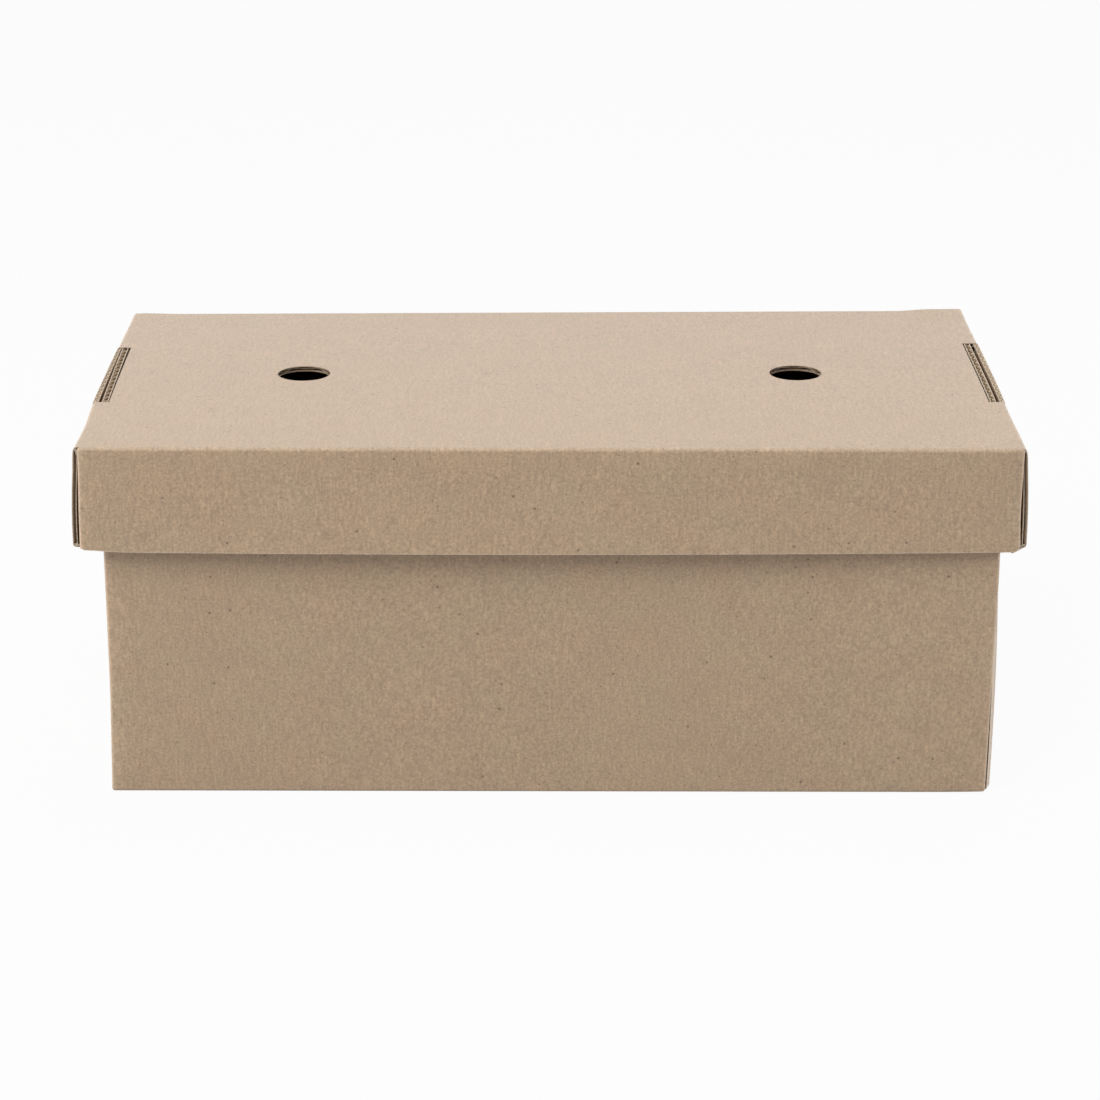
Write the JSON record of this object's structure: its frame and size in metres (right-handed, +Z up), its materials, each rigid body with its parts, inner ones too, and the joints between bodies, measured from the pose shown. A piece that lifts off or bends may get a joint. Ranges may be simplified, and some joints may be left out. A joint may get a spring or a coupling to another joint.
{
  "type": "takeaway box",
  "caption": "Rectangular kraft corrugated food box: a deep folded tray with rolled double end walls, closed by a lift-off folded lid with round steam vents.",
  "frame": {"origin": "middle of the base's underside, on the surface that the box stands on", "axes": "+X along the box's length, -Y out of the long front wall, +Z up, the way the lid lifts off"},
  "size_m": [0.255, 0.14, 0.1007],
  "materials": {
    "base_board": "unprinted brown kraft liner, matt, fine fibre and faint flute lines",
    "lid_board": "unprinted brown kraft liner, matt, fine fibre and faint flute lines"
  },
  "bodies": {
    "base": {"base": "base_board"},
    "lid": {"lid": "lid_board"}
  },
  "joints": [
    {"name": "lid_lift", "type": "slide", "parent": "base", "child": "lid", "axis": [0, 0, 1], "range_m": [0, 0.12]}
  ]
}
